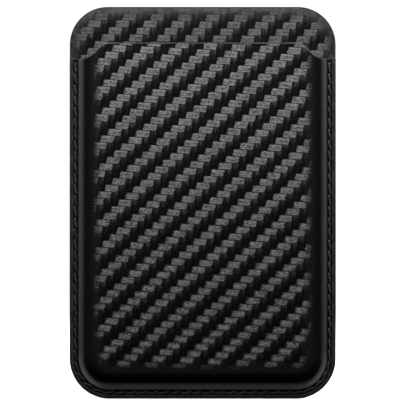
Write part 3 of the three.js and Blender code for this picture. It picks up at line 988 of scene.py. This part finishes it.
def stitch(name, diameter, level, sunk, facing):
    """One stitch of three twisted plies: up out of its hole, along the channel and down again."""
    seam = bpy.context.scene.wallet_seam
    places = seam_places()
    reach = math.dist(places[0][:2], places[1][:2]) / 2
    radius = diameter / 2
    deselect_all()
    bpy.ops.mesh.primitive_circle_add(
        vertices=9, radius=radius, fill_type="NGON", rotation=(0, -math.pi / 2, 0)
    )
    piece = bpy.context.object
    piece.name = name
    bpy.ops.object.transform_apply()
    # Every third vertex is pulled in, which leaves the three plies.
    for vertex in list(piece.data.vertices)[::3]:
        vertex.co *= PLY_HOLLOW
    first_half = [(-share, up) for share, up in STITCH_HALF]
    stations = []
    for share, up in first_half + list(reversed(STITCH_HALF[:-1])):
        y = -(sunk + (level - sunk) * up)
        stations.append(Vector((share * reach, y, facing * share * seam.slant / 2)))
    pick(piece)
    bpy.ops.transform.translate(value=stations[0])
    for here, there in zip(stations, stations[1:]):
        extrude(there - here)
        bpy.ops.transform.rotate(value=PLY_TWIST, orient_axis="X", center_override=there)
    face_outwards(piece)
    return piece


def stitch_row(name, diameter, level, sunk, facing):
    """A stitch between every two needle holes."""
    piece = stitch(name, diameter, level, sunk, facing)
    places = seam_places()
    middles = []
    for (x0, z0, _), (x1, z1, _) in zip(places, places[1:]):
        middles.append(((x0 + x1) / 2, (z0 + z1) / 2, math.atan2(z1 - z0, x1 - x0)))
    return copies_along(piece, middles)


class WALLET_OT_front_panel(bpy.types.Operator):
    """Adds the moulded front of the pocket, with its sunk seam and needle holes"""

    bl_idname = "wallet.front_panel"
    bl_label = "Front panel"

    def execute(self, context):
        weave = context.scene.wallet_weave
        panel = self.shell("front_pocket_panel", SHELL_BACK)
        carve(panel, mouth_block("mouth", COAT, CLEAR_HEIGHT, POCKET_LEVEL - PAST))
        carve(panel, hole_block(POCKET_LEVEL - PAST, 3 * PAST))
        lie = (weave.panel_turn, PANEL_SHIFT, PANEL_FADE)
        leather = woven_leather("Woven leather, panel", *lie, weave.tow_light, weave.grain_light)
        finish_piece(panel, leather, "woven_leather", "front_panel_skin")
        coat = self.shell("mouth_edge_coat", COATED_BACK)
        strip = mouth_block("strip", COAT, COAT, POCKET_LEVEL - PAST)
        carve(coat, strip, "INTERSECT")
        soften(coat, context.scene.wallet_edges.rounding)
        finish_piece(coat, highlighted_paint(), "edge_coat", "mouth_edge_paint")
        return {"FINISHED"}

    def shell(self, name, back):
        """The whole moulded shell, before its mouth is cut."""
        shell = plate(name, COAT, POCKET_LEVEL, SHELL_EDGE * MM)
        edge = COAT / MM
        inset_steps(shell, -1, (edge, POCKET_LEVEL / MM + SHELL_EDGE), SHELL_FRONT)
        inset_steps(shell, 1, (edge, POCKET_LEVEL / MM), back)
        # The ridge is wider along the bottom, where the wall stands further in.
        pick(shell, lambda vertex: vertex.co.z < 0 and inset_of(vertex.co) > RIDGE_INSET)
        bpy.ops.transform.translate(value=(0, 0, BOTTOM_RIDGE_EXTRA))
        deselect_all()
        return shell


class WALLET_OT_back_skin(bpy.types.Operator):
    """Adds the leather behind the cards, whose top is the lip above the mouth"""

    bl_idname = "wallet.back_skin"
    bl_label = "Back skin"

    def execute(self, context):
        edges = context.scene.wallet_edges
        skin = plate("back_panel_lip", COAT, BACK_SKIN_LEVEL, POCKET_LEVEL - BACK_SKIN_LEVEL)
        for height in (RIM_END_Z - RIM_END_EASE, RIM_END_Z + RIM_END_EASE):
            pick(skin)
            bpy.ops.mesh.bisect(plane_co=(0, 0, height), plane_no=(0, 0, 1))
        deselect_all()
        self.ease(skin, edges)
        carve(skin, window_block("window", 0, BACK_SKIN_LEVEL - PAST, 3 * PAST))
        weave = context.scene.wallet_weave
        lie = (LIP_TURN, LIP_SHIFT, LIP_FADE)
        leather = woven_leather("Woven leather, lip", *lie, weave.lip_light, weave.lip_grain)
        finish_piece(skin, leather, "woven_leather", "back_panel_skin")
        return {"FINISHED"}

    def ease(self, skin, edges):
        """Presses the lip's border back in a curve that is steepest at its edge."""
        pick(skin, lambda face: face.normal.y < -0.99, "FACE")
        for share, last in zip(EASE_SHARES[1:], EASE_SHARES):
            bpy.ops.mesh.inset(thickness=(share - last) * edges.lip_run, depth=0)
        deselect_all()
        for share in EASE_SHARES[:-1]:
            inset = COAT + share * edges.lip_run
            drop = edges.lip_ease * (1 - share) ** 2
            pick(skin, lambda vertex: self.on_ring(vertex.co, inset))
            bpy.ops.transform.translate(value=(0, drop, 0))
        deselect_all()

    def on_ring(self, place, inset):
        """Whether a vertex of the front face is on the lip's ring at an inset."""
        if place.z < RIM_END_Z or place.y > -POCKET_LEVEL + NEAR:
            return False
        return abs(inset_of(place) - inset) < NEAR


class WALLET_OT_back_cover(bpy.types.Operator):
    """Adds the suede cover that sits on the phone"""

    bl_idname = "wallet.back_cover"
    bl_label = "Back cover"

    def execute(self, context):
        cover = plate("suede_back_cover", COAT, 0, CARRIER_LEVEL)
        carve(cover, window_block("window", 0, -PAST, 3 * PAST))
        carve(cover, self.channel())
        carve(cover, hole_block(-PAST, 3 * PAST))
        for radius in RING_LINE_RS:
            carve(cover, self.ring_line(radius))
        cloth = context.scene.wallet_cloth
        look = (cloth.cover_dark, cloth.cover_light, cloth.cover_nap)
        finish = suede("Microfibre suede, cover", *look)
        finish_piece(cover, finish, "suede_leather", "back_cover")
        return {"FINISHED"}

    def ring_line(self, radius):
        """A ring that presses a shallow line into the cover."""
        deselect_all()
        bpy.ops.mesh.primitive_torus_add(
            major_radius=radius,
            minor_radius=LINE_R,
            major_segments=128,
            minor_segments=12,
            location=(0, LINE_LIFT, 0),
            rotation=(math.pi / 2, 0, 0),
        )
        bpy.ops.object.transform_apply()
        return bpy.context.object

    def channel(self):
        """A round channel that sinks the thread into the cover along the seam."""
        path = plate("channel", SEAM_INSET, 0, PAST)
        pick(path, lambda face: face.normal.y < 0.99, "FACE")
        bpy.ops.mesh.delete(type="FACE")
        pick(path, kind="FACE")
        bpy.ops.mesh.delete(type="ONLY_FACE")
        pick(path)
        end_z = SEAM_TOP_Z + CHANNEL_PAST
        bpy.ops.mesh.bisect(plane_co=(0, 0, end_z), plane_no=(0, 0, 1), clear_outer=True)
        bpy.ops.object.mode_set(mode="OBJECT")
        bpy.ops.object.convert(target="CURVE")
        curve = bpy.context.object
        curve.data.bevel_depth = CHANNEL_R
        curve.data.bevel_resolution = 4
        curve.data.use_fill_caps = True
        bpy.ops.object.convert(target="MESH")
        tube = bpy.context.object
        face_outwards(tube)
        return tube


class WALLET_OT_edge_coats(bpy.types.Operator):
    """Adds the painted outer edge and the painted edge of the thumb window"""

    bl_idname = "wallet.edge_coats"
    bl_label = "Edge coats"

    def execute(self, context):
        edges = context.scene.wallet_edges
        coat = plate("outer_edge_coat", 0, 0, RIM_LEVEL)
        carve(coat, plate("core", COAT, -PAST, RIM_LEVEL + 2 * PAST))
        lip_level = POCKET_LEVEL - edges.lip_ease
        carve(coat, mouth_block("mouth", 0, CLEAR_HEIGHT, lip_level))
        soften(coat, edges.rounding)
        paint = edge_paint()
        finish_piece(coat, paint, "edge_coat", "edge_paint")
        window = window_block("window_edge_coat", 0, 0, POCKET_LEVEL)
        carve(window, window_block("opening", -COAT, -PAST, POCKET_LEVEL + 2 * PAST))
        soften(window, edges.rounding)
        finish_piece(window, paint, "edge_coat", "window_edge_paint")
        return {"FINISHED"}


class WALLET_OT_lining(bpy.types.Operator):
    """Adds the microfibre lining inside the front of the pocket"""

    bl_idname = "wallet.lining"
    bl_label = "Lining"

    def execute(self, context):
        thickness = STIFFENER_LEVEL - LINING_LEVEL
        lining = plate("pocket_lining", CROWN_SHEET_INSET, LINING_LEVEL, thickness)
        carve(lining, mouth_block("mouth", COAT, CLEAR_HEIGHT, LINING_LEVEL - PAST))
        soften(lining, LINING_ROUNDING)
        cloth = context.scene.wallet_cloth
        finish = suede("Microfibre, lining", cloth.lining_dark, cloth.lining_light, cloth.lining_nap)
        finish_piece(lining, finish, "microfibre", "front_lining")
        return {"FINISHED"}


class WALLET_OT_stitches(bpy.types.Operator):
    """Adds the needle thread on the front and the bobbin thread on the back"""

    bl_idname = "wallet.stitches"
    bl_label = "Stitches"

    def execute(self, context):
        seam = context.scene.wallet_seam
        needle_level = -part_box("needle_thread")[0].y - seam.needle_d / 2
        needle_sunk = -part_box("needle_thread")[1].y + seam.needle_d / 2
        needle = stitch_row("needle_stitches", seam.needle_d, needle_level, needle_sunk, 1)
        thread = bonded_thread()
        finish_piece(needle, thread, "bonded_thread", "needle_thread")
        bobbin_level = -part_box("bobbin_thread")[1].y + seam.bobbin_d / 2
        bobbin_sunk = -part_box("bobbin_thread")[0].y - seam.bobbin_d / 2
        bobbin = stitch_row("bobbin_stitches", seam.bobbin_d, bobbin_level, bobbin_sunk, -1)
        finish_piece(bobbin, thread, "bonded_thread", "bobbin_thread")
        return {"FINISHED"}


class WALLET_OT_inner_parts(bpy.types.Operator):
    """Gives the magnets, the plate, the board and the stiffener their finishes"""

    bl_idname = "wallet.inner_parts"
    bl_label = "Inner parts"

    def execute(self, context):
        satin = ("#b4b1aa", "#d2cfc8")
        spangled = ("#8f9396", "#b9bdc0")
        nickel = grained("Nickel plate, satin", satin, (0.5, 0.5, 6.0), (0.22, 0.34), 0.01 * MM, 1.0)
        zinc = grained("Zinc-plated steel", spangled, (0.6, 0.6, 0.6), (0.32, 0.5), 0.02 * MM, 1.0)
        greys = ("#3c3c3e", "#58585a")
        milky = ("#c9c9c5", "#dededa")
        foam = grained("Foam board, cut", greys, (2.5, 2.5, 2.5), (0.8, 0.95), 0.06 * MM)
        plastic = grained("Polypropylene sheet", milky, (1.2, 1.2, 1.2), (0.4, 0.55), 0.02 * MM)
        finishes = {"shield_plate": zinc, "magnet_carrier": foam, "front_stiffener": plastic}
        finishes["alignment_magnet"] = nickel
        for name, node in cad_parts.items():
            finish = nickel if name.startswith("ring_magnet") else finishes.get(name)
            if finish:
                node.data.materials.clear()
                node.data.materials.append(finish)
        return {"FINISHED"}


# ---- Panel and registration --------

STEPS = (
    WALLET_OT_stage,
    WALLET_OT_front_panel,
    WALLET_OT_back_skin,
    WALLET_OT_back_cover,
    WALLET_OT_edge_coats,
    WALLET_OT_lining,
    WALLET_OT_stitches,
    WALLET_OT_inner_parts,
)
SETTINGS = {
    "wallet_weave": WalletWeave,
    "wallet_edges": WalletEdges,
    "wallet_seam": WalletSeam,
    "wallet_cloth": WalletCloth,
    "wallet_stage": WalletStage,
}


class WALLET_PT_sidebar(bpy.types.Panel):
    """Lists the wallet's pieces"""

    bl_label = "Magnetic Card Wallet"
    bl_idname = "WALLET_PT_sidebar"
    bl_space_type = "VIEW_3D"
    bl_region_type = "UI"
    bl_category = "Wallet"

    def draw(self, context):
        for step in STEPS:
            self.layout.operator(step.bl_idname)
        for name, group in SETTINGS.items():
            settings = getattr(context.scene, name)
            box = self.layout.box()
            for key in group.__annotations__:
                box.prop(settings, key)


def register():
    for name, group in SETTINGS.items():
        bpy.utils.register_class(group)
        setattr(bpy.types.Scene, name, bpy.props.PointerProperty(type=group))
    for step in STEPS:
        bpy.utils.register_class(step)
    bpy.utils.register_class(WALLET_PT_sidebar)


def unregister():
    bpy.utils.unregister_class(WALLET_PT_sidebar)
    for step in reversed(STEPS):
        bpy.utils.unregister_class(step)
    for name, group in SETTINGS.items():
        delattr(bpy.types.Scene, name)
        bpy.utils.unregister_class(group)


def main():
    """Builds the whole wallet."""
    register()
    for step in STEPS:
        name = step.bl_idname.split(".")[1]
        getattr(bpy.ops.wallet, name)()


if __name__ == "__main__":
    main()
